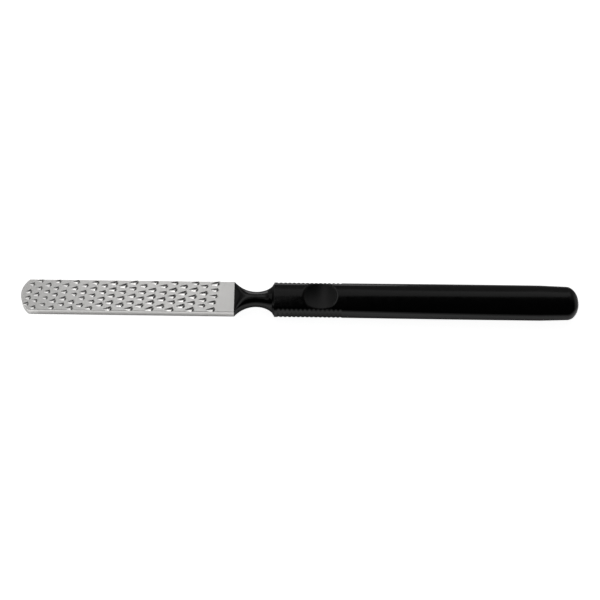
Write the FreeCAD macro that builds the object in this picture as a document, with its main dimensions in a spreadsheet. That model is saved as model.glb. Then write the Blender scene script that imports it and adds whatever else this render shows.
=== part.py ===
import FreeCAD, Part
import math
import os
import re

import Sketcher

# Foot file: a steel rasp blade, set by its notched tang in a moulded plastic handle with epoxy.
# Millimetres. X runs from the blade's tip to the handle's tail, and Z is up through the toothed face.
# Every piece is drawn about the tool's long axis with the blade's shoulder at X = 0, and is then placed
# so that the origin lies under the middle of the tool, on the surface that it is laid on.

SIZES = {
    # Bar of the blade, from its rounded tip to its shoulder
    "blade_length": 95.5,
    "heel_width": 15.9,
    "tip_width": 15.8,
    "blade_thickness": 4.1,
    "tip_rise": 3.85,
    "edge_break": 0.2,
    # Punched rasp teeth: each is a tapering pit with a burr raised at its deep end
    "plain_band": 8.4,
    "tip_margin": 1.3,
    "side_margin": 0.1,
    "tooth_pitch": 4.3,
    "tooth_spacing": 3.05,
    "row_lean": 5.0,
    "tooth_length": 3.5,
    "tooth_width": 2.1,
    "tooth_depth": 0.6,
    "burr_length": 1.1,
    "burr_height": 0.4,
    # Tang, with round nicks ground into both edges
    "tang_length": 58.0,
    "tang_width": 3.8,
    "tang_thickness": 2.6,
    "nick_radius": 0.6,
    "nick_start": 24.0,
    "nick_pitch": 12.0,
    # Adhesive round the tang and past its end
    "bond_gap": 0.25,
    "bond_end": 2.0,
    # Handle: front flange, neck, grip, shaft with its belly and hip, and domed tail, in runs along the axis
    "front_lip": 0.25,
    "front_crown": 0.2,
    "neck_wall": 0.72,
    "neck_run": 9.85,
    "grip_run": 8.15,
    "grip_length": 33.0,
    "belly_run": 45.0,
    "hip_run": 41.0,
    "tail_run": 12.0,
    "dome_length": 5.5,
    "grip_width": 15.6,
    "grip_thickness": 9.4,
    "grip_flat": 2.4,
    "grip_crown": 0.4,
    "belly_width": 16.6,
    "belly_thickness": 8.9,
    "belly_flat": 1.1,
    "belly_crown": 0.6,
    "hip_width": 16.8,
    "hip_thickness": 8.4,
    "hip_flat": 0.8,
    "hip_crown": 0.6,
    "tail_width": 16.0,
    "tail_thickness": 8.0,
    "tail_flat": 0.6,
    "tail_crown": 0.6,
    # Serrated sides of the grip and the thumb hollow on its top
    "serration_pitch": 1.97,
    "serration_land": 0.57,
    "serration_depth": 0.5,
    "serration_wrap": 85.0,
    "thumb_place": 20.4,
    "thumb_radius": 19.0,
    "thumb_depth": 1.5,
}

doc = FreeCAD.newDocument("foot_file")
sheet = doc.addObject("Spreadsheet::Sheet", "sizes")
for row, (alias, number) in enumerate(SIZES.items(), start=1):
    sheet.set(f"A{row}", alias)
    sheet.set(f"B{row}", str(number))
    sheet.setAlias(f"B{row}", alias)
doc.recompute()

# Axes and origin of a sketch, the way up, and the size below which an edge counts as having none
H_AXIS_INDEX = -1
V_AXIS_INDEX = -2
ORIGIN_INDEX = (-1, 1)
UP = FreeCAD.Vector(0, 0, 1)
TINY = 0.001


def value(formula):
    """Number that a formula of sheet sizes gives."""
    return float(sheet.evalExpression(formula))


def bind(target, path, formula):
    """Tie a property to a formula of sheet sizes."""
    target.setExpression(path, re.sub(r"[a-z]+(_[a-z]+)+", r"sizes.\g<0>", formula))


def origin_part(body, role):
    """Origin plane or axis of a body."""
    return next(feature for feature in body.Origin.OriginFeatures if feature.Role == role)


def new_sketch(body, name, role, offset="0"):
    """Sketch on one of the body's origin planes, moved along that plane's normal."""
    sketch = body.newObject("Sketcher::SketchObject", name)
    sketch.AttachmentSupport = [(origin_part(body, role), "")]
    sketch.MapMode = "FlatFace"
    bind(sketch, "AttachmentOffset.Base.z", offset)
    return sketch


def dimension(sketch, name, formula, kind, *places):
    """Named dimension of a sketch, tied to the sheet."""
    index = sketch.addConstraint(Sketcher.Constraint(kind, *places, value(formula)))
    sketch.renameConstraint(index, name)
    bind(sketch, f"Constraints.{name}", formula)


def point(x, y):
    """Point in a sketch."""
    return FreeCAD.Vector(x, y, 0)


def arc(centre, radius, start, end):
    """Arc in a sketch, anticlockwise between two angles in radians."""
    return Part.ArcOfCircle(Part.Circle(centre, UP, radius), start, end)


def loop(sketch, edges):
    """Closed run of sketch edges, each end joined to the next start."""
    sketch.addGeometry(edges)
    for edge in range(len(edges)):
        sketch.addConstraint(Sketcher.Constraint("Coincident", edge, 2, (edge + 1) % len(edges), 1))


# Rasp blade: the bar and its tang are one piece of steel
TIP_RADIUS = "(((tip_width / 2)^2 + tip_rise^2) / (2 * tip_rise))"
blade_body = doc.addObject("PartDesign::Body", "blade_body")

outline = new_sketch(blade_body, "bar_outline", "XY_Plane")
heel = value("heel_width / 2")
tip = value("tip_width / 2")
tip_radius = value(TIP_RADIUS)
tip_start = -value("blade_length - tip_rise")
tip_centre = tip_radius - value("blade_length")
tip_angle = math.atan2(tip, tip_centre - tip_start)
loop(outline, [
    Part.LineSegment(point(0, -heel), point(0, heel)),
    Part.LineSegment(point(0, heel), point(tip_start, tip)),
    arc(point(tip_centre, 0), tip_radius, math.pi - tip_angle, math.pi + tip_angle),
    Part.LineSegment(point(tip_start, -tip), point(0, -heel)),
])
outline.addConstraint([
    Sketcher.Constraint("Symmetric", 0, 1, 0, 2, H_AXIS_INDEX),
    Sketcher.Constraint("PointOnObject", 0, 1, V_AXIS_INDEX),
    Sketcher.Constraint("PointOnObject", 2, 3, H_AXIS_INDEX),
    Sketcher.Constraint("Vertical", 2, 1, 2, 2),
])
dimension(outline, "heel_across", "heel_width", "DistanceY", 0, 1, 0, 2)
dimension(outline, "tip_across", "tip_width", "DistanceY", 2, 2, 2, 1)
dimension(outline, "tip_arc", TIP_RADIUS, "Radius", 2)
dimension(outline, "arc_start", "blade_length - tip_rise", "DistanceX", 2, 1, *ORIGIN_INDEX)

bar = blade_body.newObject("PartDesign::Pad", "bar")
bar.Profile = outline
bar.SideType = "Symmetric"
bind(bar, "Length", "blade_thickness")
doc.recompute()

broken = blade_body.newObject("PartDesign::Chamfer", "bar_edges")
rim = [
    f"Edge{number}"
    for number, edge in enumerate(bar.Shape.Edges, start=1)
    if edge.BoundBox.ZLength < TINY < edge.BoundBox.XLength
]
broken.Base = (bar, rim)
bind(broken, "Size", "edge_break")

tang_sketch = new_sketch(blade_body, "tang_outline", "XY_Plane")
tang_half = value("tang_width / 2")
tang_end = value("tang_length")
loop(tang_sketch, [
    Part.LineSegment(point(0, -tang_half), point(tang_end, -tang_half)),
    Part.LineSegment(point(tang_end, -tang_half), point(tang_end, tang_half)),
    Part.LineSegment(point(tang_end, tang_half), point(0, tang_half)),
    Part.LineSegment(point(0, tang_half), point(0, -tang_half)),
])
tang_sketch.addConstraint([
    Sketcher.Constraint("Horizontal", 0),
    Sketcher.Constraint("Horizontal", 2),
    Sketcher.Constraint("Symmetric", 3, 1, 3, 2, H_AXIS_INDEX),
    Sketcher.Constraint("Vertical", 1),
    Sketcher.Constraint("PointOnObject", 3, 1, V_AXIS_INDEX),
])
dimension(tang_sketch, "tang_reach", "tang_length", "DistanceX", 0, 1, 0, 2)
dimension(tang_sketch, "tang_across", "tang_width", "DistanceY", 1, 1, 1, 2)
tang = blade_body.newObject("PartDesign::Pad", "tang")
tang.Profile = tang_sketch
tang.SideType = "Symmetric"
bind(tang, "Length", "tang_thickness")

nick_sketch = new_sketch(blade_body, "nick_outline", "XY_Plane")
nick_sketch.addGeometry(Part.Circle(point(value("nick_start"), tang_half), UP, value("nick_radius")))
dimension(nick_sketch, "nick_size", "nick_radius", "Radius", 0)
dimension(nick_sketch, "nick_along", "nick_start", "DistanceX", *ORIGIN_INDEX, 0, 3)
dimension(nick_sketch, "nick_out", "tang_width / 2", "DistanceY", *ORIGIN_INDEX, 0, 3)
nick = blade_body.newObject("PartDesign::Pocket", "nick")
nick.Profile = nick_sketch
nick.SideType = "Symmetric"
bind(nick, "Length", "blade_thickness")

nick_row = doc.addObject("PartDesign::LinearPattern", "nick_row")
nick_row.Direction = (origin_part(blade_body, "X_Axis"), [""])
nick_row.Mode = "Spacing"
bind(nick_row, "Offset", "nick_pitch")
bind(nick_row, "Occurrences", "floor((tang_length - nick_start - nick_radius) / nick_pitch) + 1")
nick_pair = doc.addObject("PartDesign::Mirrored", "nick_pair")
nick_pair.MirrorPlane = (origin_part(blade_body, "XZ_Plane"), [""])
nicks = blade_body.newObject("PartDesign::MultiTransform", "nicks")
nicks.Originals = [nick]
nicks.Transformations = [nick_row, nick_pair]
blade_body.Tip = nicks


def flat_solid(corners):
    """Solid with three flat sides on a triangle: three corners of the base, then the apex."""
    base_a, base_b, base_c, apex = corners
    sides = [
        (base_a, base_c, base_b),
        (base_a, base_b, apex),
        (base_b, base_c, apex),
        (base_c, base_a, apex),
    ]
    faces = [Part.Face(Part.makePolygon([*side, side[0]])) for side in sides]
    solid = Part.Solid(Part.makeShell(faces))
    if solid.Volume < 0:
        solid.reverse()
    return solid


# How far the shape of a pit stands out of the face, and a burr's root reaches into it
OVERLAP = 0.1
# Place of the deepest point of a pit and of the peak of a burr, as a share of its length
PEAK_SHARE = 0.1


def tooth_pit(x, y):
    """Tapering pit that the punch leaves, deepest near its end at x."""
    top = value("blade_thickness / 2")
    depth = value("tooth_depth")
    low = FreeCAD.Vector(x - PEAK_SHARE * value("tooth_length"), y, top - depth)
    rim = [
        FreeCAD.Vector(x - value("tooth_length"), y, top),
        FreeCAD.Vector(x, y - value("tooth_width / 2"), top),
        FreeCAD.Vector(x, y + value("tooth_width / 2"), top),
    ]
    reach = (depth + OVERLAP) / depth
    return flat_solid([*(low + (corner - low) * reach for corner in rim), low])


def tooth_burr(x, y):
    """Burr of steel that the punch pushes up at the deep end of its pit."""
    top = value("blade_thickness / 2")
    root = top - OVERLAP
    half = value("tooth_width / 2")
    return flat_solid([
        FreeCAD.Vector(x, y + half, root),
        FreeCAD.Vector(x, y - half, root),
        FreeCAD.Vector(x + value("burr_length"), y, root),
        FreeCAD.Vector(x + PEAK_SHARE * value("burr_length"), y, top + value("burr_height")),
    ])


def on_face(x, y):
    """Whether a point lies on the blade's face, clear of its rounded end."""
    return x > tip_centre or math.hypot(x - tip_centre, y) <= tip_radius - value("tip_margin")


def tooth_places():
    """Deep ends of all the pits, in leaning rows with every other row set half a space over."""
    pitch = value("tooth_pitch")
    spacing = value("tooth_spacing")
    run = value("blade_length - tip_margin - plain_band - tooth_length")
    lean = math.tan(math.radians(value("row_lean")))
    for row in range(int(run / pitch) + 1):
        middle = -value("plain_band") - row * pitch
        width_here = heel + (tip - heel) * middle / tip_start
        limit = width_here - value("edge_break + side_margin + tooth_width / 2")
        shift = (row % 2) / 2
        most = int(limit / spacing) + 1
        for step in range(-most, most + 1):
            y = (step + shift) * spacing
            x = middle + y * lean
            outer = abs(y) + value("tooth_width / 2")
            if abs(y) <= limit and on_face(x - value("tooth_length"), y) and on_face(x, outer):
                yield x, y


places = list(tooth_places())
pits = doc.addObject("Part::Feature", "tooth_pits")
pits.Shape = Part.makeCompound([tooth_pit(x, y) for x, y in places])
burrs = doc.addObject("Part::Feature", "tooth_burrs")
burrs.Shape = Part.makeCompound([tooth_burr(x, y) for x, y in places])

punched = doc.addObject("Part::Cut", "punched_blade")
punched.Base = blade_body
punched.Tool = pits
rasp_blade = doc.addObject("Part::Fuse", "rasp_blade")
rasp_blade.Base = punched
rasp_blade.Tool = burrs
rasp_blade.Refine = False

# Tang adhesive: cured epoxy, everything in the handle's socket that the tang does not fill
socket = doc.addObject("Part::Box", "socket_space")
bind(socket, "Length", "tang_length + bond_end")
bind(socket, "Width", "tang_width + 2 * bond_gap")
bind(socket, "Height", "tang_thickness + 2 * bond_gap")
bind(socket, "Placement.Base.y", "-(tang_width / 2 + bond_gap)")
bind(socket, "Placement.Base.z", "-(tang_thickness / 2 + bond_gap)")
tang_adhesive = doc.addObject("Part::Cut", "tang_adhesive")
tang_adhesive.Base = socket
tang_adhesive.Tool = blade_body

# Handle: one moulding, lofted through rounded cross-sections along the axis
handle = doc.addObject("PartDesign::Body", "handle")

NECK_RADIUS = "(sqrt((tang_width + 2 * bond_gap)^2 + (tang_thickness + 2 * bond_gap)^2) / 2 + neck_wall)"
GRIP_START = "(neck_run + grip_run)"
GRIP_END = "(neck_run + grip_run + grip_length)"
BELLY_PLACE = "(neck_run + grip_run + grip_length + belly_run)"
HIP_PLACE = "(neck_run + grip_run + grip_length + belly_run + hip_run)"
TAIL_PLACE = "(neck_run + grip_run + grip_length + belly_run + hip_run + tail_run)"
HANDLE_LENGTH = "(neck_run + grip_run + grip_length + belly_run + hip_run + tail_run + dome_length)"


def stout_section(part):
    """Cross-section sizes of one part of the handle, whose corners take what its flat sides leave."""
    corner = f"({part}_thickness / 2 - {part}_crown - {part}_flat / 2)"
    return f"{part}_width / 2", f"{part}_thickness / 2", corner, f"{part}_crown"


# Sizes of a cross-section: half width, half thickness, corner radius and rise of the crown
FRONT = ("heel_width / 2", "(blade_thickness / 2 + front_lip)", "front_lip", "front_crown")
NECK_CORNER = 0.8
NECK_CROWN = 0.1
NECK = (NECK_RADIUS, NECK_RADIUS, f"({NECK_CORNER} * {NECK_RADIUS})", f"({NECK_CROWN} * {NECK_RADIUS})")
GRIP = stout_section("grip")
BELLY = stout_section("belly")
HIP = stout_section("hip")
TAIL = stout_section("tail")


def wall_height(sizes):
    """Half height of the upright wall of a cross-section."""
    _, half_thickness, corner, crown = sizes
    return f"({half_thickness} - {corner} - {crown})"


def crown_radius(sizes):
    """Radius of the crown that runs into both corner arcs of a cross-section without a break."""
    half_width, _, corner, crown = sizes
    return f"((({half_width} - {corner})^2 + ({corner} + {crown})^2 - {corner}^2) / (2 * {crown}))"


def cross_section(name, station, sizes):
    """Closed cross-section with upright walls, round corners and a crowned top and bottom."""
    half_width, half_thickness, corner, crown = sizes
    sketch = new_sketch(handle, name, "YZ_Plane", station)
    side = value(half_width)
    wall = value(wall_height(sizes))
    turn = value(corner)
    dome = value(crown_radius(sizes))
    dome_centre = value(half_thickness) - dome
    lean = math.atan2(wall - dome_centre, side - turn)
    sketch.addGeometry([
        Part.LineSegment(point(side, -wall), point(side, wall)),
        arc(point(side - turn, wall), turn, 0, lean),
        arc(point(0, dome_centre), dome, lean, math.pi - lean),
        arc(point(turn - side, wall), turn, math.pi - lean, math.pi),
        Part.LineSegment(point(-side, wall), point(-side, -wall)),
        arc(point(turn - side, -wall), turn, math.pi, math.pi + lean),
        arc(point(0, -dome_centre), dome, math.pi + lean, 2 * math.pi - lean),
        arc(point(side - turn, -wall), turn, 2 * math.pi - lean, 2 * math.pi),
    ])
    sketch.addConstraint([Sketcher.Constraint("Tangent", edge, 2, (edge + 1) % 8, 1) for edge in range(8)])
    sketch.addConstraint([Sketcher.Constraint("Equal", 1, edge) for edge in (3, 5, 7)])
    sketch.addConstraint([
        Sketcher.Constraint("Equal", 2, 6),
        Sketcher.Constraint("Symmetric", 0, 1, 0, 2, H_AXIS_INDEX),
        Sketcher.Constraint("Symmetric", 4, 1, 4, 2, H_AXIS_INDEX),
        Sketcher.Constraint("Symmetric", 0, 2, 4, 1, V_AXIS_INDEX),
    ])
    dimension(sketch, "half_width", half_width, "DistanceX", *ORIGIN_INDEX, 0, 2)
    dimension(sketch, "half_wall", wall_height(sizes), "DistanceY", *ORIGIN_INDEX, 0, 2)
    dimension(sketch, "corner", corner, "Radius", 1)
    dimension(sketch, "crown", crown_radius(sizes), "Radius", 2)
    return sketch


def loft(name, sections):
    """Smooth skin through cross-sections."""
    feature = handle.newObject("PartDesign::AdditiveLoft", name)
    feature.Profile = sections[0]
    feature.Sections = sections[1:]


# Angles that the curved sides of the neck turn through towards the front and the grip, and the number
# of cross-sections after the first
FRONT_ANGLE = math.radians(45)
GRIP_ANGLE = math.radians(80)
STEPS = 5


def flare(name, run, sweep, far_side):
    """Loft out of the neck along an arc that leaves it level and widens to the section far_side."""
    sections = []
    for step in range(STEPS + 1):
        turned = sweep * step / STEPS
        along = math.sin(turned) / math.sin(sweep)
        share = (1 - math.cos(turned)) / (1 - math.cos(sweep))
        sizes = tuple(f"({1 - share} * {near} + {share} * {far})" for near, far in zip(NECK, far_side))
        sections.append(cross_section(f"{name}_{step}", f"neck_run + {along} * {run}", sizes))
    loft(name, sections)
    return sections[-1]


flare("front_flare", "(-neck_run)", FRONT_ANGLE, FRONT)
grip_front = flare("grip_flare", "grip_run", GRIP_ANGLE, GRIP)

grip = handle.newObject("PartDesign::Pad", "grip")
grip.Profile = grip_front
bind(grip, "Length", "grip_length")

shaft_sections = [
    cross_section("grip_back", GRIP_END, GRIP),
    cross_section("belly", BELLY_PLACE, BELLY),
    cross_section("hip", HIP_PLACE, HIP),
]
loft("shaft", shaft_sections)
tail = cross_section("tail", TAIL_PLACE, TAIL)
loft("taper", [shaft_sections[-1], tail])

# Angles from the tail to the flat spot at the very end of the dome, in degrees
DOME_ANGLES = (20, 38, 54, 68, 78, 84)
dome_sections = [tail]
for angle in DOME_ANGLES:
    reach = f"(sin({angle}) / sin({DOME_ANGLES[-1]}))"
    shrunk = tuple(f"({size} * cos({angle}))" for size in TAIL)
    dome_sections.append(cross_section(f"dome_{angle}", f"{TAIL_PLACE} + dome_length * {reach}", shrunk))
loft("tail_dome", dome_sections)

# Blind socket for the tang, from the handle's front
socket_sketch = new_sketch(handle, "socket_outline", "YZ_Plane")
socket_half = value("tang_width / 2 + bond_gap")
socket_top = value("tang_thickness / 2 + bond_gap")
loop(socket_sketch, [
    Part.LineSegment(point(-socket_half, -socket_top), point(socket_half, -socket_top)),
    Part.LineSegment(point(socket_half, -socket_top), point(socket_half, socket_top)),
    Part.LineSegment(point(socket_half, socket_top), point(-socket_half, socket_top)),
    Part.LineSegment(point(-socket_half, socket_top), point(-socket_half, -socket_top)),
])
socket_sketch.addConstraint([
    Sketcher.Constraint("Horizontal", 0),
    Sketcher.Constraint("Horizontal", 2),
    Sketcher.Constraint("Vertical", 1),
    Sketcher.Constraint("Vertical", 3),
    Sketcher.Constraint("Symmetric", 0, 1, 2, 1, *ORIGIN_INDEX),
])
dimension(socket_sketch, "socket_across", "tang_width + 2 * bond_gap", "DistanceX", 0, 1, 0, 2)
dimension(socket_sketch, "socket_high", "tang_thickness + 2 * bond_gap", "DistanceY", 1, 1, 1, 2)
bore = handle.newObject("PartDesign::Pocket", "socket_bore")
bore.Profile = socket_sketch
bore.Reversed = True
bind(bore, "Length", "tang_length + bond_end")

# Thumb hollow: a shallow round scoop in the grip's top
scoop = handle.newObject("PartDesign::SubtractiveSphere", "thumb_hollow")
scoop.AttachmentSupport = [(origin_part(handle, "XY_Plane"), "")]
scoop.MapMode = "FlatFace"
bind(scoop, "Radius", "thumb_radius")
bind(scoop, "AttachmentOffset.Base.x", f"{GRIP_START} + thumb_place")
bind(scoop, "AttachmentOffset.Base.z", "grip_thickness / 2 - thumb_depth + thumb_radius")

# Serrated sides: one V groove from mid height up round the corner of the grip, then its copies
GROOVE_START = f"({GRIP_START} + serration_pitch)"
spine = new_sketch(handle, "groove_path", "YZ_Plane", GROOVE_START)
side = value("grip_width / 2")
wall = value(wall_height(GRIP))
corner = value(GRIP[2])
spine.addGeometry([
    Part.LineSegment(point(side, 0), point(side, wall)),
    arc(point(side - corner, wall), corner, 0, math.radians(value("serration_wrap"))),
])
spine.addConstraint([
    Sketcher.Constraint("PointOnObject", 0, 1, H_AXIS_INDEX),
    Sketcher.Constraint("Vertical", 0),
    Sketcher.Constraint("Tangent", 0, 2, 1, 1),
])
dimension(spine, "half_width", "grip_width / 2", "DistanceX", *ORIGIN_INDEX, 0, 1)
dimension(spine, "half_wall", wall_height(GRIP), "DistanceY", 0, 1, 0, 2)
dimension(spine, "corner", GRIP[2], "Radius", 1)
spine.addConstraint(Sketcher.Constraint("Angle", 1, math.radians(value("serration_wrap"))))
spine.renameConstraint(spine.ConstraintCount - 1, "wrap")
bind(spine, "Constraints.wrap", "serration_wrap")

vee = new_sketch(handle, "groove_outline", "XY_Plane")
groove_x = value(GROOVE_START)
groove_half = value("serration_pitch - serration_land")
groove_low = value("grip_width / 2 - serration_depth")
groove_high = value("grip_width / 2 + serration_depth")
loop(vee, [
    Part.LineSegment(point(groove_x, groove_low), point(groove_x + groove_half, groove_high)),
    Part.LineSegment(point(groove_x + groove_half, groove_high), point(groove_x - groove_half, groove_high)),
    Part.LineSegment(point(groove_x - groove_half, groove_high), point(groove_x, groove_low)),
])
vee.addConstraint([
    Sketcher.Constraint("Horizontal", 1),
    Sketcher.Constraint("Equal", 0, 2),
])
dimension(vee, "along", GROOVE_START, "DistanceX", *ORIGIN_INDEX, 0, 1)
dimension(vee, "low", "grip_width / 2 - serration_depth", "DistanceY", *ORIGIN_INDEX, 0, 1)
dimension(vee, "high", "2 * serration_depth", "DistanceY", 0, 1, 0, 2)
dimension(vee, "open", "2 * (serration_pitch - serration_land)", "DistanceX", 1, 2, 1, 1)
groove = handle.newObject("PartDesign::SubtractivePipe", "groove")
groove.Profile = vee
groove.Spine = (spine, ["Edge1", "Edge2"])

groove_row = doc.addObject("PartDesign::LinearPattern", "groove_row")
groove_row.Direction = (origin_part(handle, "X_Axis"), [""])
groove_row.Mode = "Spacing"
bind(groove_row, "Offset", "serration_pitch")
bind(groove_row, "Occurrences", "floor((grip_length - serration_land) / serration_pitch) - 1")
groove_down = doc.addObject("PartDesign::Mirrored", "groove_down")
groove_down.MirrorPlane = (origin_part(handle, "XY_Plane"), [""])
groove_across = doc.addObject("PartDesign::Mirrored", "groove_across")
groove_across.MirrorPlane = (origin_part(handle, "XZ_Plane"), [""])
serrations = handle.newObject("PartDesign::MultiTransform", "serrations")
serrations.Originals = [groove]
serrations.Refine = False
serrations.Transformations = [groove_row, groove_down, groove_across]
handle.Tip = serrations

# The finished pieces, moved from the tool's axis to the surface that the tool lies on
pieces = (rasp_blade, handle, tang_adhesive)
for piece in pieces:
    bind(piece, "Placement.Base.x", f"(blade_length - {HANDLE_LENGTH}) / 2")
    bind(piece, "Placement.Base.z", "max(grip_thickness; belly_thickness; hip_thickness; tail_thickness) / 2")
doc.recompute()

for item in doc.Objects:
    if "Invalid" in item.State or "Error" in item.State:
        raise RuntimeError(f"{item.Name} failed: {item.State}")
os.makedirs("parts", exist_ok=True)
for piece in pieces:
    if piece.Shape.isNull() or not piece.Shape.isValid():
        raise RuntimeError(f"{piece.Label} has no valid shape")
    piece.Shape.exportStep(f"parts/{piece.Label}.step")
    print(piece.Label, len(piece.Shape.Solids), round(piece.Shape.Volume, 2), piece.Shape.BoundBox)
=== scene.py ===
import math

import bmesh
import bpy
from mathutils import Matrix, Vector


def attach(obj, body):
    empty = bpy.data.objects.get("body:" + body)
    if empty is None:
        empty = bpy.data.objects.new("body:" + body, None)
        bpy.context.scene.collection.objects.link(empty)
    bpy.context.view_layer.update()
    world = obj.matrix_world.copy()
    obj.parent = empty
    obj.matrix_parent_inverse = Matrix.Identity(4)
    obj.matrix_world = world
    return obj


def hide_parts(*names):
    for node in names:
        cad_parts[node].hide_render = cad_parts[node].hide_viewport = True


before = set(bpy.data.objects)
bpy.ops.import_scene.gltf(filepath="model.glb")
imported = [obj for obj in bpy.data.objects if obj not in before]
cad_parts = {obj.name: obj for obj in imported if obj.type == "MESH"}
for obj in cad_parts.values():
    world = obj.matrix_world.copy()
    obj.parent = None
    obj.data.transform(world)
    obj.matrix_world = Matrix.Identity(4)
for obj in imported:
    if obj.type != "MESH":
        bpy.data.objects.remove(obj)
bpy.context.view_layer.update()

# Rasp blade: a bar of hardened steel with a rounded end. One face is punched with staggered rows of teeth,
# and a slim notched tang runs on from the bar into the handle. Satin nickel plate covers all of it.
# Meshes are drawn in millimetres about the tool's axis, from the blade's shoulder, and then placed.
MM = 0.001
SHOULDER = -29.5
AXIS_HEIGHT = 4.7
PLACED = Matrix.Translation((SHOULDER * MM, 0, AXIS_HEIGHT * MM)) @ Matrix.Scale(MM, 4)
BLADE_LENGTH = 95.5
HEEL_HALF = 7.95
TIP_HALF = 7.9
TIP_RISE = 3.85
FACE = 2.05
TIP_STEPS = 36
EDGE_ROUND = 0.25
TANG_ROOT = 1
TANG_LENGTH = 58
TANG_HALF = 1.9
TANG_FACE = 1.3
NICKS = (24, 36, 48)
NICK_RADIUS = 0.6
NICK_STEPS = 8


def slab(outline, half):
    """Plate of an anticlockwise outline, as thick above the axis as below it."""
    plate = bmesh.new()
    low = [plate.verts.new((x, y, -half)) for x, y in outline]
    high = [plate.verts.new((x, y, half)) for x, y in outline]
    plate.faces.new(low[::-1])
    plate.faces.new(high)
    for place in range(len(outline)):
        plate.faces.new((low[place - 1], low[place], high[place], high[place - 1]))
    return plate


def as_object(name, shape):
    """Object of a finished shape."""
    mesh = bpy.data.meshes.new(name)
    shape.to_mesh(mesh)
    shape.free()
    piece = bpy.data.objects.new(name, mesh)
    bpy.context.collection.objects.link(piece)
    return piece


tip_radius = (TIP_HALF**2 + TIP_RISE**2) / (2 * TIP_RISE)
tip_turn = math.asin(TIP_HALF / tip_radius)
tip_centre = tip_radius - BLADE_LENGTH
bar_outline = [(0, -HEEL_HALF), (0, HEEL_HALF)]
for step in range(TIP_STEPS + 1):
    angle = math.pi + tip_turn * (2 * step / TIP_STEPS - 1)
    bar_outline.append((tip_centre + tip_radius * math.cos(angle), tip_radius * math.sin(angle)))
bar_shape = slab(bar_outline, FACE)
level = [edge for edge in bar_shape.edges if edge.verts[0].co.z == edge.verts[1].co.z]
rim = [edge for edge in level if min(end.co.x for end in edge.verts) < 0]
bmesh.ops.bevel(bar_shape, geom=rim, offset=EDGE_ROUND, segments=3, profile=0.5, affect="EDGES")
bar = as_object("blade_bar", bar_shape)

nick_turns = [math.pi * step / NICK_STEPS for step in range(NICK_STEPS + 1)]
tang_edge = [(-TANG_ROOT, -TANG_HALF)]
for nick in NICKS:
    for turn in nick_turns:
        tang_edge.append((nick - NICK_RADIUS * math.cos(turn), NICK_RADIUS * math.sin(turn) - TANG_HALF))
tang_edge.append((TANG_LENGTH, -TANG_HALF))
tang = as_object("blade_tang", slab(tang_edge + [(x, -y) for x, y in reversed(tang_edge)], TANG_FACE))

# One tooth, with its origin on the blade's face in the middle of the pit's end wall. A blunt chisel punch,
# driven in towards the handle, leaves a tapering pit and curls up a burr of steel behind it.
PIT_START_FAR = Vector((-3.2, 0.2, 0))
PIT_START_NEAR = Vector((-2.9, -0.5, 0))
PIT_FAR = Vector((0.3, 1.2, 0))
PIT_NEAR = Vector((-0.45, -1.05, 0))
PIT_DEEPEST = Vector((-0.2, 0.44, -0.55))
PIT_ABOVE = 0.3
PIT_ROUND = 0.12
BURR_LENGTH = 0.9
BURR_HEIGHT = 0.32
BURR_ROOT = -0.2
BURR_END = 0.12
BURR_FULLNESS = 0.7
BURR_STEPS = 9

pit_shape = bmesh.new()
pit_reach = 1 - PIT_ABOVE / PIT_DEEPEST.z
deepest = pit_shape.verts.new(PIT_DEEPEST)
mouth = [
    pit_shape.verts.new(PIT_DEEPEST + (corner - PIT_DEEPEST) * pit_reach)
    for corner in (PIT_START_FAR, PIT_START_NEAR, PIT_NEAR, PIT_FAR)
]
pit_shape.faces.new(mouth)
for place in range(len(mouth)):
    pit_shape.faces.new((mouth[place], mouth[place - 1], deepest))
bmesh.ops.recalc_face_normals(pit_shape, faces=pit_shape.faces)
bmesh.ops.bevel(
    pit_shape, geom=deepest.link_edges[:], offset=PIT_ROUND, segments=2, profile=0.5, affect="EDGES")
pit = as_object("tooth_pit", pit_shape)

# Section of the burr in shares of its length and height, from its root on the pit's side over the crest and
# down its back. It begins inside the pit, which trims its front, and shrinks towards both ends of the wall.
BURR_SECTION = (
    (-0.1, None), (-0.07, 0.6), (0.12, 1.0), (0.28, 0.82),
    (0.5, 0.42), (0.75, 0.14), (1.0, -0.05), (1.0, None),
)
burr_shape = bmesh.new()
burr_away = Vector((0, 0, 1)).cross(PIT_FAR - PIT_NEAR).normalized() * -1
rings = []
for step in range(BURR_STEPS + 1):
    share = step / BURR_STEPS
    swell = BURR_END + (1 - BURR_END) * math.sin(math.pi * share) ** BURR_FULLNESS
    foot = PIT_FAR.lerp(PIT_NEAR, share)
    ring = []
    for out, up in BURR_SECTION:
        height = BURR_ROOT if up is None else up * swell * BURR_HEIGHT
        spot = foot + burr_away * out * swell * BURR_LENGTH + Vector((0, 0, height))
        ring.append(burr_shape.verts.new(spot))
    rings.append(ring)
burr_shape.faces.new(rings[0])
burr_shape.faces.new(rings[-1][::-1])
for first, second in zip(rings, rings[1:]):
    for place in range(len(first)):
        burr_shape.faces.new((first[place], first[place - 1], second[place - 1], second[place]))
bmesh.ops.recalc_face_normals(burr_shape, faces=burr_shape.faces)
burr = as_object("tooth_burr", burr_shape)

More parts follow.
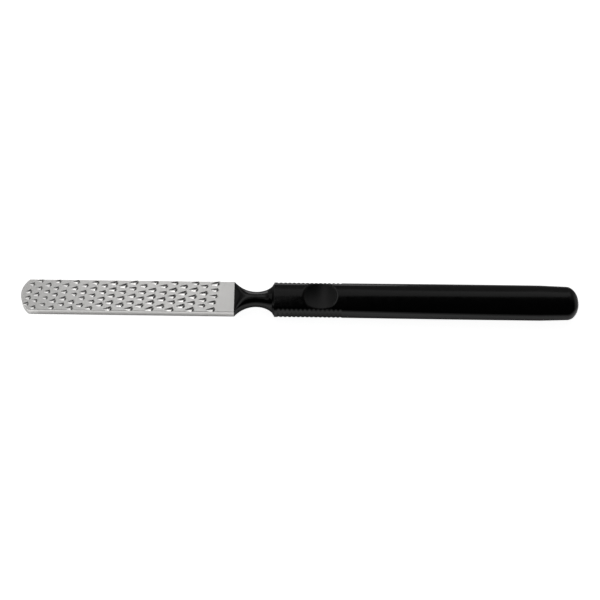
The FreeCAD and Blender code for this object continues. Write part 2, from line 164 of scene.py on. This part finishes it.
# Places of the teeth: leaning rows, every other one set over by half a space. They crowd together and lean
# more towards the tip.
PLAIN_BAND = 8.3
ROW_PITCH_HEEL = 4.6
ROW_PITCH_TIP = 3.6
ROW_CROWDING = 3
TOOTH_SPACING = 3.35
TEETH_EACH_SIDE = 2
ROW_LEAN_HEEL = 6
ROW_LEAN_TIP = 12
TOOTH_MIDDLE = 1.2
LAST_ROW_MARGIN = 2
TIP_MARGIN = 0.1
SIDE_MARGIN = 1.1
tooth_places = []
row_x = -PLAIN_BAND
row = 0
while row_x > TOOTH_MIDDLE + LAST_ROW_MARGIN - BLADE_LENGTH:
    share = -row_x / BLADE_LENGTH
    half = HEEL_HALF + (TIP_HALF - HEEL_HALF) * share
    lean = math.tan(math.radians(ROW_LEAN_HEEL + (ROW_LEAN_TIP - ROW_LEAN_HEEL) * share))
    for step in range(-TEETH_EACH_SIDE, TEETH_EACH_SIDE + 1):
        y = (step + row % 2 / 2) * TOOTH_SPACING
        x = row_x + y * lean
        past_centre = max(0, tip_centre - x + TOOTH_MIDDLE)
        if abs(y) < half - SIDE_MARGIN and math.hypot(past_centre, y) < tip_radius - TIP_MARGIN:
            tooth_places.append((x, y, FACE))
    row_x -= ROW_PITCH_HEEL + (ROW_PITCH_TIP - ROW_PITCH_HEEL) * share**ROW_CROWDING
    row += 1


def add_node(tree, kind, inputs=None, **settings):
    """Node with its settings, each input a fixed value or another node's output."""
    node = tree.nodes.new(kind)
    for name, setting in settings.items():
        setattr(node, name, setting)
    for place, source in (inputs or {}).items():
        if isinstance(source, bpy.types.NodeSocket):
            tree.links.new(source, node.inputs[place])
        else:
            node.inputs[place].default_value = source
    return node


def linear(code):
    """Linear colour of an sRGB hex code."""
    parts = [int(code[place:place + 2], 16) / 255 for place in (1, 3, 5)]
    return [part / 12.92 if part <= 0.04045 else ((part + 0.055) / 1.055) ** 2.4 for part in parts] + [1.0]


# Sockets of a Mix node that hold colours
FIRST_COLOUR = 6
SECOND_COLOUR = 7
MIXED_COLOUR = 2

# Satin nickel plate: a fine even grain that spreads reflections, a little cloudy from the plating bath
nickel = bpy.data.materials.new("satin_nickel_plate")
nickel.use_nodes = True
tree = nickel.node_tree
tree.nodes.clear()
place = add_node(tree, "ShaderNodeTexCoord").outputs["Object"]
grain = add_node(tree, "ShaderNodeTexNoise", {"Vector": place, "Scale": 1 / (0.35 * MM), "Detail": 3.0})
cloud = add_node(tree, "ShaderNodeTexNoise", {"Vector": place, "Scale": 1 / (9 * MM), "Detail": 2.0})
tint = add_node(tree, "ShaderNodeMix", {
    "Factor": cloud.outputs["Fac"], FIRST_COLOUR: linear("#E2E1DF"), SECOND_COLOUR: linear("#EDECEA")},
    data_type="RGBA")
rough = add_node(tree, "ShaderNodeMapRange", {
    "Value": grain.outputs["Fac"], "From Min": 0.3, "From Max": 0.7, "To Min": 0.3, "To Max": 0.4})
bump = add_node(tree, "ShaderNodeBump", {
    "Height": grain.outputs["Fac"], "Strength": 0.12, "Distance": 0.03 * MM})
steel = add_node(tree, "ShaderNodeBsdfPrincipled", {
    "Base Color": tint.outputs[MIXED_COLOUR], "Metallic": 1.0, "Roughness": rough.outputs["Result"],
    "Normal": bump.outputs["Normal"]})
add_node(tree, "ShaderNodeOutputMaterial", {"Surface": steel.outputs["BSDF"]})

# The teeth are cut by instancing: each place gets a burr and a pit of its own size and turn
teeth = bpy.data.node_groups.new("rasp_teeth", "GeometryNodeTree")
teeth.interface.new_socket("Places", in_out="INPUT", socket_type="NodeSocketGeometry")
TOOTH_INPUTS = {
    "Bar": ("NodeSocketObject", bar),
    "Tang": ("NodeSocketObject", tang),
    "Pit": ("NodeSocketObject", pit),
    "Burr": ("NodeSocketObject", burr),
    "Length at tip": ("NodeSocketFloat", 0.66),
    "Width at tip": ("NodeSocketFloat", 0.86),
    "Size spread": ("NodeSocketFloat", 0.12),
    "Turn spread": ("NodeSocketFloat", math.radians(8)),
    "Stray": ("NodeSocketFloat", 0.27),
    "Seed": ("NodeSocketInt", 7),
    "Plate": ("NodeSocketMaterial", nickel),
}
sockets = {
    name: teeth.interface.new_socket(name, in_out="INPUT", socket_type=kind).identifier
    for name, (kind, _) in TOOTH_INPUTS.items()
}
teeth.interface.new_socket("Blade", in_out="OUTPUT", socket_type="NodeSocketGeometry")
given = add_node(teeth, "NodeGroupInput").outputs
stray = add_node(teeth, "FunctionNodeRandomValue", {"Seed": given["Seed"]}, data_type="FLOAT_VECTOR")
stray.inputs[0].default_value = (-1, -1, 0)
stray.inputs[1].default_value = (1, 1, 0)
offset = add_node(teeth, "ShaderNodeVectorMath", {
    0: stray.outputs[0], "Scale": given["Stray"]}, operation="SCALE")
places = add_node(teeth, "GeometryNodeSetPosition", {
    "Geometry": given["Places"], "Offset": offset.outputs["Vector"]}).outputs["Geometry"]
spot = add_node(teeth, "GeometryNodeInputPosition").outputs[0]
along = add_node(teeth, "ShaderNodeSeparateXYZ", {0: spot})
spread = add_node(teeth, "ShaderNodeMath", {
    0: 0.0, 1: given["Size spread"]}, operation="SUBTRACT").outputs[0]
vary = add_node(teeth, "FunctionNodeRandomValue", {
    2: spread, 3: given["Size spread"], "Seed": given["Seed"]})
own = add_node(teeth, "ShaderNodeMath", {0: 1.0, 1: vary.outputs[1]}, operation="ADD").outputs[0]
sizes = []
for name in ("Length at tip", "Width at tip"):
    size = add_node(teeth, "ShaderNodeMapRange", {
        "Value": along.outputs["X"], "From Min": -BLADE_LENGTH, "From Max": -0.5 * BLADE_LENGTH,
        "To Min": given[name], "To Max": 1.0}).outputs["Result"]
    sizes.append(add_node(teeth, "ShaderNodeMath", {0: size, 1: own}, operation="MULTIPLY").outputs[0])
scale = add_node(teeth, "ShaderNodeCombineXYZ", {"X": sizes[0], "Y": sizes[1], "Z": sizes[0]}).outputs[0]
back = add_node(teeth, "ShaderNodeMath", {0: 0.0, 1: given["Turn spread"]}, operation="SUBTRACT").outputs[0]
turn = add_node(teeth, "FunctionNodeRandomValue", {2: back, 3: given["Turn spread"], "Seed": given["Seed"]})
euler = add_node(teeth, "ShaderNodeCombineXYZ", {"Z": turn.outputs[1]}).outputs[0]
rotation = add_node(teeth, "FunctionNodeEulerToRotation", {0: euler}).outputs[0]
cut = {}
for name in ("Bar", "Tang", "Pit", "Burr"):
    cut[name] = add_node(teeth, "GeometryNodeObjectInfo", {"Object": given[name]}).outputs["Geometry"]
for name in ("Pit", "Burr"):
    copies = add_node(teeth, "GeometryNodeInstanceOnPoints", {
        "Points": places, "Instance": cut[name], "Rotation": rotation, "Scale": scale})
    cut[name] = add_node(teeth, "GeometryNodeRealizeInstances", {0: copies.outputs[0]}).outputs[0]
raised = add_node(teeth, "GeometryNodeMeshBoolean", {
    "Self Intersection": True}, operation="UNION", solver="EXACT")
for name in ("Bar", "Tang", "Burr"):
    teeth.links.new(cut[name], raised.inputs["Mesh 2"])
punched = add_node(teeth, "GeometryNodeMeshBoolean", {
    "Mesh 1": raised.outputs["Mesh"], "Mesh 2": cut["Pit"], "Self Intersection": True},
    operation="DIFFERENCE", solver="EXACT")
whole = add_node(teeth, "GeometryNodeRealizeInstances", {0: punched.outputs["Mesh"]})
plate = add_node(teeth, "GeometryNodeSetMaterial", {0: whole.outputs[0], "Material": given["Plate"]})
add_node(teeth, "NodeGroupOutput", {"Blade": plate.outputs[0]})


def finished(name, source, tree, values, sockets, sharp):
    """Plain mesh that a node tree makes of a source object, placed in the frame and with sharp creases."""
    maker = source.modifiers.new(tree.name, "NODES")
    maker.node_group = tree
    for socket, value in values.items():
        maker[sockets[socket]] = value
    bpy.context.view_layer.update()
    made = source.evaluated_get(bpy.context.evaluated_depsgraph_get())
    mesh = bpy.data.meshes.new_from_object(made)
    mesh.transform(PLACED)
    mesh.name = name
    mesh.shade_smooth()
    mesh.set_sharp_from_angle(angle=sharp)
    bpy.data.objects.remove(source)
    piece = bpy.data.objects.new(name, mesh)
    bpy.context.collection.objects.link(piece)
    return piece


tooth_mesh = bpy.data.meshes.new("tooth_places")
tooth_mesh.from_pydata(tooth_places, [], [])
tooth_source = bpy.data.objects.new("tooth_places", tooth_mesh)
bpy.context.collection.objects.link(tooth_source)
BLADE_CREASE = math.radians(18)
FLAT = 0.9999
tooth_values = {name: value for name, (_, value) in TOOTH_INPUTS.items()}
blade = finished("nickel_rasp_blade", tooth_source, teeth, tooth_values, sockets, BLADE_CREASE)
for pattern in (bar, tang, pit, burr):
    bpy.data.objects.remove(pattern)
# The bar's two faces keep their flat shading round the teeth
for face in blade.data.polygons:
    face.use_smooth = abs(face.normal.z) < FLAT
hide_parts("rasp_blade")
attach(blade, "root")

# Tang adhesive: epoxy that was poured into the handle's socket, filled the nicks in the tang and set hard.
# It is sealed in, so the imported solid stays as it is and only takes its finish.
epoxy = bpy.data.materials.new("cured_amber_epoxy")
epoxy.use_nodes = True
tree = epoxy.node_tree
tree.nodes.clear()
place = add_node(tree, "ShaderNodeTexCoord").outputs["Object"]
streak = add_node(tree, "ShaderNodeTexNoise", {"Vector": place, "Scale": 1 / (2 * MM), "Detail": 4.0})
amber = add_node(tree, "ShaderNodeMix", {
    "Factor": streak.outputs["Fac"], FIRST_COLOUR: linear("#A87B2E"), SECOND_COLOUR: linear("#D0AC62")},
    data_type="RGBA")
resin = add_node(tree, "ShaderNodeBsdfPrincipled", {
    "Base Color": amber.outputs[MIXED_COLOUR], "Roughness": 0.2, "IOR": 1.55, "Subsurface Weight": 0.2,
    "Subsurface Radius": (1.5 * MM, 0.8 * MM, 0.3 * MM), "Subsurface Scale": 1.0})
add_node(tree, "ShaderNodeOutputMaterial", {"Surface": resin.outputs["BSDF"]})
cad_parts["tang_adhesive"].data.materials.clear()
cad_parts["tang_adhesive"].data.materials.append(epoxy)

# Handle: one moulding of black plastic, polished by the mould. It flares to the blade's width at the front and
# narrows to a round neck. Behind that come a grip with serrated sides and a thumb hollow, a shaft and a round
# tail.
NECK_RUN = 9.85
GRIP_RUN = 8.15
GRIP_LENGTH = 33.0
BELLY_RUN = 45.0
HIP_RUN = 41.0
TAIL_RUN = 12.0
DOME_LENGTH = 5.5
# Cross-sections: half width, half thickness, corner radius and rise of the crown
FRONT = (7.95, 2.3, 0.25, 0.2)
NECK = (3.37, 3.37, 2.7, 0.337)
GRIP = (7.8, 4.7, 3.1, 0.4)
BELLY = (8.3, 4.45, 3.3, 0.6)
HIP = (8.4, 4.2, 3.2, 0.6)
TAIL = (8.0, 4.0, 3.1, 0.6)
FRONT_ANGLE = math.radians(45)
GRIP_ANGLE = math.radians(80)
grip_start = NECK_RUN + GRIP_RUN
grip_end = grip_start + GRIP_LENGTH
belly_place = grip_end + BELLY_RUN
hip_place = belly_place + HIP_RUN
tail_place = hip_place + TAIL_RUN


def between(first, second, share):
    """Cross-section part of the way from one to another."""
    return [a + (b - a) * share for a, b in zip(first, second)]


def flared(out, sweep, wide):
    """Cross-section on an arc that leaves the neck level and turns through sweep by its end, out = 1."""
    turned = math.asin(out * math.sin(sweep))
    return between(NECK, wide, (1 - math.cos(turned)) / (1 - math.cos(sweep)))


def handle_section(x):
    """Cross-section of the handle at a distance from its front."""
    if x < NECK_RUN:
        return flared((NECK_RUN - x) / NECK_RUN, FRONT_ANGLE, FRONT)
    if x < grip_start:
        return flared((x - NECK_RUN) / GRIP_RUN, GRIP_ANGLE, GRIP)
    if x < grip_end:
        return GRIP
    if x > tail_place:
        return [size * math.sqrt(max(0.0, 1 - ((x - tail_place) / DOME_LENGTH) ** 2)) for size in TAIL]
    if x > hip_place:
        return between(HIP, TAIL, (x - hip_place) / TAIL_RUN)
    near, mid, far = x - grip_end, x - belly_place, x - hip_place
    shares = (
        mid * far / ((grip_end - belly_place) * (grip_end - hip_place)),
        near * far / ((belly_place - grip_end) * (belly_place - hip_place)),
        near * mid / ((hip_place - grip_end) * (hip_place - belly_place)),
    )
    return [sum(share * size for share, size in zip(shares, sizes)) for sizes in zip(GRIP, BELLY, HIP)]


WALL_STEPS = 3
CORNER_STEPS = 12
CROWN_STEPS = 12


def quarter(sizes):
    """Points of a cross-section from the middle of its side up to the middle of its top."""
    half, top, corner, crown = sizes
    wall = top - corner - crown
    dome = ((half - corner) ** 2 + (corner + crown) ** 2 - corner**2) / (2 * crown)
    lean = math.atan2(wall - top + dome, half - corner)
    points = [(half, wall * step / WALL_STEPS) for step in range(WALL_STEPS)]
    for step in range(CORNER_STEPS):
        angle = lean * step / CORNER_STEPS
        points.append((half - corner + corner * math.cos(angle), wall + corner * math.sin(angle)))
    for step in range(CROWN_STEPS + 1):
        angle = lean + (math.pi / 2 - lean) * step / CROWN_STEPS
        points.append((dome * math.cos(angle), top - dome + dome * math.sin(angle)))
    return points


THUMB_RUN = 20.4
THUMB_DEPTH = 1.5
THUMB_RADIUS_ALONG = 19.0
THUMB_RADIUS_ACROSS = 40.0
THUMB_RIM = 0.3
thumb_place = grip_start + THUMB_RUN


def scooped(x, y, z):
    """Height of the top once the thumb hollow is pressed in, its rim a little rounded."""
    along = (x - thumb_place) ** 2 / (2 * THUMB_RADIUS_ALONG)
    across = y**2 / (2 * THUMB_RADIUS_ACROSS)
    floor = GRIP[1] - THUMB_DEPTH + along + across
    blend = max(THUMB_RIM - abs(z - floor), 0) / THUMB_RIM
    return min(z, floor) - blend**2 * THUMB_RIM / 4


SERRATION_PITCH = 1.97
SERRATION_LAND = 0.57
SERRATION_DEPTH = 0.36
SERRATION_COUNT = 15
GROOVE_STATIONS = (0.0, 0.18, 0.355, 0.5, 0.645, 0.82)
FRONT_STEPS = 28
BACK_STEPS = 22
SHAFT_STEPS = 70
TAIL_STEPS = 10
DOME_STEPS = 26
first_groove = grip_start + SERRATION_PITCH
# Places of the cross-sections along the handle, closest together where it curves and in the grooves
stations = [NECK_RUN * step / FRONT_STEPS for step in range(FRONT_STEPS)]
for step in range(BACK_STEPS):
    stations.append(NECK_RUN + GRIP_RUN * math.sin(GRIP_ANGLE * step / BACK_STEPS) / math.sin(GRIP_ANGLE))
for groove in range(SERRATION_COUNT + 2):
    start = first_groove + (groove - 1.5) * SERRATION_PITCH
    stations += [start + share * SERRATION_PITCH for share in GROOVE_STATIONS]
neck_stations = [x for x in stations if x < grip_start]
grip_stations = [x for x in stations if grip_start < x < grip_end]
stations = neck_stations + [grip_start] + grip_stations
stations += [grip_end + (hip_place - grip_end) * step / SHAFT_STEPS for step in range(SHAFT_STEPS)]
stations += [hip_place + TAIL_RUN * step / TAIL_STEPS for step in range(TAIL_STEPS)]
for step in range(DOME_STEPS):
    stations.append(tail_place + DOME_LENGTH * math.sin(math.pi / 2 * step / DOME_STEPS))

handle_shape = bmesh.new()
loops = []
for x in stations:
    side = quarter(handle_section(x))
    upper = side + [(-y, z) for y, z in reversed(side[:-1])]
    outline = [(y, scooped(x, y, z)) for y, z in upper] + [(-y, -z) for y, z in upper[1:-1]]
    loops.append([handle_shape.verts.new((x, y, z)) for y, z in outline])
for first, second in zip(loops, loops[1:]):
    for spot in range(len(first)):
        handle_shape.faces.new((first[spot - 1], first[spot], second[spot], second[spot - 1]))
handle_shape.faces.new(loops[0][::-1])
tail_end = handle_shape.verts.new((tail_place + DOME_LENGTH, 0, 0))
for spot in range(len(loops[-1])):
    handle_shape.faces.new((loops[-1][spot - 1], loops[-1][spot], tail_end))
bmesh.ops.recalc_face_normals(handle_shape, faces=handle_shape.faces)
handle_source = as_object("handle_blank", handle_shape)

# Polished black ABS: deep black, with sharp reflections that waver a little where the moulding has sunk.
# The thumb hollow is left satin by the mould.
SATIN = 0.32
plastic = bpy.data.materials.new("polished_black_abs")
plastic.use_nodes = True
tree = plastic.node_tree
tree.nodes.clear()
place = add_node(tree, "ShaderNodeTexCoord").outputs["Object"]
sink = add_node(tree, "ShaderNodeTexNoise", {"Vector": place, "Scale": 1 / (14 * MM), "Detail": 1.0})
haze = add_node(tree, "ShaderNodeTexNoise", {"Vector": place, "Scale": 1 / (3 * MM), "Detail": 5.0})
gloss = add_node(tree, "ShaderNodeMapRange", {
    "Value": haze.outputs["Fac"], "From Min": 0.3, "From Max": 0.7, "To Min": 0.09, "To Max": 0.16})
thumb_centre = PLACED @ Vector((thumb_place, 0, GRIP[1]))
thumb_along = math.sqrt(2 * THUMB_DEPTH * THUMB_RADIUS_ALONG)
thumb_across = math.sqrt(2 * THUMB_DEPTH * THUMB_RADIUS_ACROSS)
thumb_reach = Vector((thumb_along, thumb_across, GRIP[1]))
off = add_node(tree, "ShaderNodeVectorMath", {0: place, 1: thumb_centre}, operation="SUBTRACT").outputs[0]
share = add_node(tree, "ShaderNodeVectorMath", {0: off, 1: thumb_reach * MM}, operation="DIVIDE").outputs[0]
outward = add_node(tree, "ShaderNodeVectorMath", {0: share}, operation="LENGTH").outputs["Value"]
hollow = add_node(tree, "ShaderNodeMapRange", {
    "Value": outward, "From Min": 0.9, "From Max": 1.0, "To Min": SATIN, "To Max": 0.0}).outputs["Result"]
polish = add_node(tree, "ShaderNodeMath", {
    0: gloss.outputs["Result"], 1: hollow}, operation="MAXIMUM").outputs[0]
black = add_node(tree, "ShaderNodeMix", {
    "Factor": haze.outputs["Fac"], FIRST_COLOUR: linear("#050505"), SECOND_COLOUR: linear("#090909")},
    data_type="RGBA")
waver = add_node(tree, "ShaderNodeBump", {
    "Height": sink.outputs["Fac"], "Strength": 0.25, "Distance": 0.1 * MM})
moulded = add_node(tree, "ShaderNodeBsdfPrincipled", {
    "Base Color": black.outputs[MIXED_COLOUR], "Roughness": polish, "IOR": 1.33,
    "Normal": waver.outputs["Normal"]})
add_node(tree, "ShaderNodeOutputMaterial", {"Surface": moulded.outputs["BSDF"]})

# The serrations are V grooves pressed square to the surface of the sides and corners
SERRATION_INPUTS = {
    "First groove": ("NodeSocketFloat", first_groove),
    "Pitch": ("NodeSocketFloat", SERRATION_PITCH),
    "Count": ("NodeSocketFloat", SERRATION_COUNT),
    "Land": ("NodeSocketFloat", SERRATION_LAND),
    "Depth": ("NodeSocketFloat", SERRATION_DEPTH),
    "Fades at": ("NodeSocketFloat", 0.55),
    "Full at": ("NodeSocketFloat", 0.86),
    "Plastic": ("NodeSocketMaterial", plastic),
}
ribs = bpy.data.node_groups.new("grip_serrations", "GeometryNodeTree")
ribs.interface.new_socket("Blank", in_out="INPUT", socket_type="NodeSocketGeometry")
sockets = {
    name: ribs.interface.new_socket(name, in_out="INPUT", socket_type=kind).identifier
    for name, (kind, _) in SERRATION_INPUTS.items()
}
ribs.interface.new_socket("Handle", in_out="OUTPUT", socket_type="NodeSocketGeometry")
given = add_node(ribs, "NodeGroupInput").outputs
spot = add_node(ribs, "GeometryNodeInputPosition").outputs[0]
x = add_node(ribs, "ShaderNodeSeparateXYZ", {0: spot}).outputs["X"]
normal = add_node(ribs, "GeometryNodeInputNormal").outputs[0]
sideways = add_node(ribs, "ShaderNodeSeparateXYZ", {0: normal}).outputs["Y"]
past = add_node(ribs, "ShaderNodeMath", {0: x, 1: given["First groove"]}, operation="SUBTRACT").outputs[0]
turns = add_node(ribs, "ShaderNodeMath", {0: past, 1: given["Pitch"]}, operation="DIVIDE").outputs[0]
last = add_node(ribs, "ShaderNodeMath", {0: given["Count"], 1: 1.0}, operation="SUBTRACT").outputs[0]
nearest = add_node(ribs, "ShaderNodeMath", {0: turns}, operation="ROUND").outputs[0]
groove = add_node(ribs, "ShaderNodeClamp", {"Value": nearest, "Min": 0.0, "Max": last}).outputs[0]
off = add_node(ribs, "ShaderNodeMath", {0: turns, 1: groove}, operation="SUBTRACT").outputs[0]
away = add_node(ribs, "ShaderNodeMath", {0: off}, operation="ABSOLUTE").outputs[0]
distance = add_node(ribs, "ShaderNodeMath", {0: away, 1: given["Pitch"]}, operation="MULTIPLY").outputs[0]
opening = add_node(ribs, "ShaderNodeMath", {
    0: given["Pitch"], 1: given["Land"]}, operation="SUBTRACT").outputs[0]
half = add_node(ribs, "ShaderNodeMath", {0: opening, 1: 2.0}, operation="DIVIDE").outputs[0]
vee = add_node(ribs, "ShaderNodeMapRange", {
    "Value": distance, "From Min": 0.0, "From Max": half,
    "To Min": given["Depth"], "To Max": 0.0}).outputs["Result"]
facing = add_node(ribs, "ShaderNodeMath", {0: sideways}, operation="ABSOLUTE").outputs[0]
reach = add_node(ribs, "ShaderNodeMapRange", {
    "Value": facing, "From Min": given["Fades at"], "From Max": given["Full at"]}).outputs["Result"]
depth = add_node(ribs, "ShaderNodeMath", {0: vee, 1: reach}, operation="MULTIPLY").outputs[0]
inward = add_node(ribs, "ShaderNodeMath", {0: depth, 1: -1.0}, operation="MULTIPLY").outputs[0]
press = add_node(ribs, "ShaderNodeVectorMath", {
    0: normal, "Scale": inward}, operation="SCALE").outputs["Vector"]
pressed = add_node(ribs, "GeometryNodeSetPosition", {
    "Geometry": given["Blank"], "Offset": press}).outputs[0]
whole = add_node(ribs, "GeometryNodeRealizeInstances", {0: pressed}).outputs[0]
cast = add_node(ribs, "GeometryNodeSetMaterial", {0: whole, "Material": given["Plastic"]}).outputs[0]
add_node(ribs, "NodeGroupOutput", {"Handle": cast})
HANDLE_CREASE = math.radians(35)
serration_values = {name: value for name, (_, value) in SERRATION_INPUTS.items()}
handle = finished("moulded_handle", handle_source, ribs, serration_values, sockets, HANDLE_CREASE)
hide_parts("handle")
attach(handle, "root")

# Floor: a plain white sweep. It is lit like any white card, and the camera sees it white apart from the soft
# shadow of the tool. In reflections it also glows with painted light: white in front of the tool and dimmer
# behind it, with a painted contact shadow close round the tool.
FLOOR_HALF = 3
SHADE_REACH = 18 * MM
WHITE_TO_CAMERA = 0.93
FADE_RUN = 20 * MM
FAR_PAINTED_GLOW = 0.25
floor_corners = [(x * FLOOR_HALF, y * FLOOR_HALF, 0) for x, y in ((-1, -1), (1, -1), (1, 1), (-1, 1))]
floor_mesh = bpy.data.meshes.new("white_floor")
floor_mesh.from_pydata(floor_corners, [], [(0, 1, 2, 3)])
floor = bpy.data.objects.new("white_floor", floor_mesh)
bpy.context.collection.objects.link(floor)
card = bpy.data.materials.new("white_card_painted_glow")
card.use_nodes = True
tree = card.node_tree
tree.nodes.clear()
path = add_node(tree, "ShaderNodeLightPath").outputs
# Painted shadow: near the tool an occlusion mask dims the glow that reflections see, a painted contact shadow
painted_shadow_occlusion = add_node(tree, "ShaderNodeAmbientOcclusion", {"Distance": SHADE_REACH}, samples=8).outputs["AO"]
clear = add_node(tree, "ShaderNodeMapRange", {
    "Value": painted_shadow_occlusion, "From Min": 0.6, "From Max": 1.0}).outputs["Result"]
spot = add_node(tree, "ShaderNodeTexCoord").outputs["Object"]
depth = add_node(tree, "ShaderNodeSeparateXYZ", {0: spot}).outputs["Y"]
# Painted reflection brightness: that glow fades from white in front of the tool to dimmer behind it
front = add_node(tree, "ShaderNodeMapRange", {
    "Value": depth, "From Min": 0.0, "From Max": FADE_RUN,
    "To Min": 1.0, "To Max": FAR_PAINTED_GLOW}).outputs["Result"]
painted_glow = add_node(tree, "ShaderNodeMath", {0: clear, 1: front}, operation="MULTIPLY").outputs[0]
# Only glossy rays see the painted glow; the camera sees the even white lift
reflected_painted_glow = add_node(tree, "ShaderNodeMath", {
    0: path["Is Glossy Ray"], 1: painted_glow}, operation="MULTIPLY").outputs[0]
lift = add_node(tree, "ShaderNodeMath", {
    0: path["Is Camera Ray"], 1: WHITE_TO_CAMERA, 2: reflected_painted_glow}, operation="MULTIPLY_ADD").outputs[0]
paper = add_node(tree, "ShaderNodeBsdfDiffuse", {"Color": linear("#F4F4F4")}).outputs[0]
glow = add_node(tree, "ShaderNodeEmission", {"Color": (1, 1, 1, 1), "Strength": lift}).outputs[0]
both = add_node(tree, "ShaderNodeAddShader", {0: paper, 1: glow}).outputs[0]
add_node(tree, "ShaderNodeOutputMaterial", {"Surface": both})
floor_mesh.materials.append(card)

# Studio: pale walls behind the tool and low down all round it, dark overhead and in front
world = bpy.data.worlds.new("studio")
bpy.context.scene.world = world
world.use_nodes = True
tree = world.node_tree
tree.nodes.clear()
direction = add_node(tree, "ShaderNodeTexCoord").outputs["Generated"]
parts = add_node(tree, "ShaderNodeSeparateXYZ", {0: direction}).outputs
rise = add_node(tree, "ShaderNodeMath", {0: parts["Z"], 1: parts["Y"]}, operation="ARCTAN2").outputs[0]
turned = add_node(tree, "ShaderNodeMapRange", {
    "Value": rise, "From Min": 0.0, "From Max": math.pi}).outputs["Result"]
ramp = add_node(tree, "ShaderNodeValToRGB", {0: turned})
# Brightness of the back wall, from the horizon behind the tool over the top to the one in front
stops = ((0.0, 0.35), (0.1, 0.3), (0.25, 0.3), (0.3, 0.12), (0.35, 0.02), (0.45, 0.01), (1.0, 0.01))
while len(ramp.color_ramp.elements) < len(stops):
    ramp.color_ramp.elements.new(0.5)
for element, (position, level) in zip(ramp.color_ramp.elements, stops):
    element.position = position
    element.color = (level, level, level, 1)
ends = add_node(tree, "ShaderNodeMath", {0: parts["X"]}, operation="ABSOLUTE").outputs[0]
sides = add_node(tree, "ShaderNodeMapRange", {
    "Value": ends, "From Min": 0.45, "From Max": 0.85, "To Min": 1.0, "To Max": 0.05}).outputs["Result"]
behind = add_node(tree, "ShaderNodeMath", {
    0: ramp.outputs["Color"], 1: sides}, operation="MULTIPLY").outputs[0]
low = add_node(tree, "ShaderNodeMapRange", {
    "Value": parts["Z"], "From Min": 0.2, "From Max": 0.48, "To Min": 0.6, "To Max": 0.0}).outputs["Result"]
around = add_node(tree, "ShaderNodeMapRange", {
    "Value": parts["Y"], "From Min": 0.55, "From Max": 0.8, "To Min": 1.0, "To Max": 0.0}).outputs["Result"]
level = add_node(tree, "ShaderNodeMath", {
    0: low, 1: around, 2: behind}, operation="MULTIPLY_ADD").outputs[0]
path = add_node(tree, "ShaderNodeLightPath").outputs
shown = add_node(tree, "ShaderNodeMix", {
    "Factor": path["Is Camera Ray"], "A": level, "B": 1.0}, data_type="FLOAT").outputs["Result"]
sky = add_node(tree, "ShaderNodeBackground", {"Color": (1, 1, 1, 1), "Strength": shown}).outputs[0]
add_node(tree, "ShaderNodeOutputWorld", {"Surface": sky})

# Panels of light: name, width, height, radiance and place. A softbox hangs behind the handle, turned so that
# its edge crosses the tool. A brighter one hangs behind the blade, dimmer ones hang straight over it and
# past its tip, and a card stands low behind it.
SOFTBOX = Matrix.Translation((0.05, 0.27, 0.6)) @ Matrix.Rotation(math.radians(25), 4, "Z")
CARD = Matrix.Translation((-0.08, 0.6, 0.23)) @ Matrix.Rotation(-math.pi / 2, 4, "X")
PANELS = (
    ("handle_softbox", 0.7, 0.2, 0.5, SOFTBOX @ Matrix.Translation((0.3, 0.153, 0))),
    ("blade_softbox", 0.135, 0.4, 1.22, Matrix.Translation((-0.0975, 0.35, 0.6))),
    ("overhead_softbox", 0.3, 0.25, 0.4, Matrix.Translation((-0.18, 0.025, 0.6))),
    ("tip_softbox", 0.095, 0.35, 0.15, Matrix.Translation((-0.2125, 0.35, 0.6))),
    ("end_softbox", 0.235, 0.35, 0.45, Matrix.Translation((-0.3775, 0.35, 0.6))),
    ("card", 0.32, 0.3, 2.4, CARD),
)
for name, width, height, radiance, spot in PANELS:
    panel_data = bpy.data.lights.new(name, "AREA")
    panel_data.shape = "RECTANGLE"
    panel_data.size = width
    panel_data.size_y = height
    panel_data.energy = radiance * math.pi * width * height
    panel = bpy.data.objects.new(name, panel_data)
    panel.matrix_world = spot
    bpy.context.collection.objects.link(panel)

# Camera: a long lens from the tool's near side, well above it and rolled a little
ELEVATION = math.radians(60)
ROLL = math.radians(0.74)
DISTANCE = 0.9
FRAME_WIDTH = 0.2693
camera_data = bpy.data.cameras.new("camera")
camera_data.sensor_width = 36
camera_data.lens = camera_data.sensor_width * DISTANCE / FRAME_WIDTH
camera = bpy.data.objects.new("camera", camera_data)
aim = Matrix.Translation((0, 0, AXIS_HEIGHT * MM))
camera.matrix_world = (
    aim @ Matrix.Rotation(math.pi / 2 - ELEVATION, 4, "X") @ Matrix.Translation((0, 0, DISTANCE))
    @ Matrix.Rotation(ROLL, 4, "Z"))
bpy.context.collection.objects.link(camera)
bpy.context.scene.camera = camera
bpy.context.scene.view_settings.view_transform = "Standard"
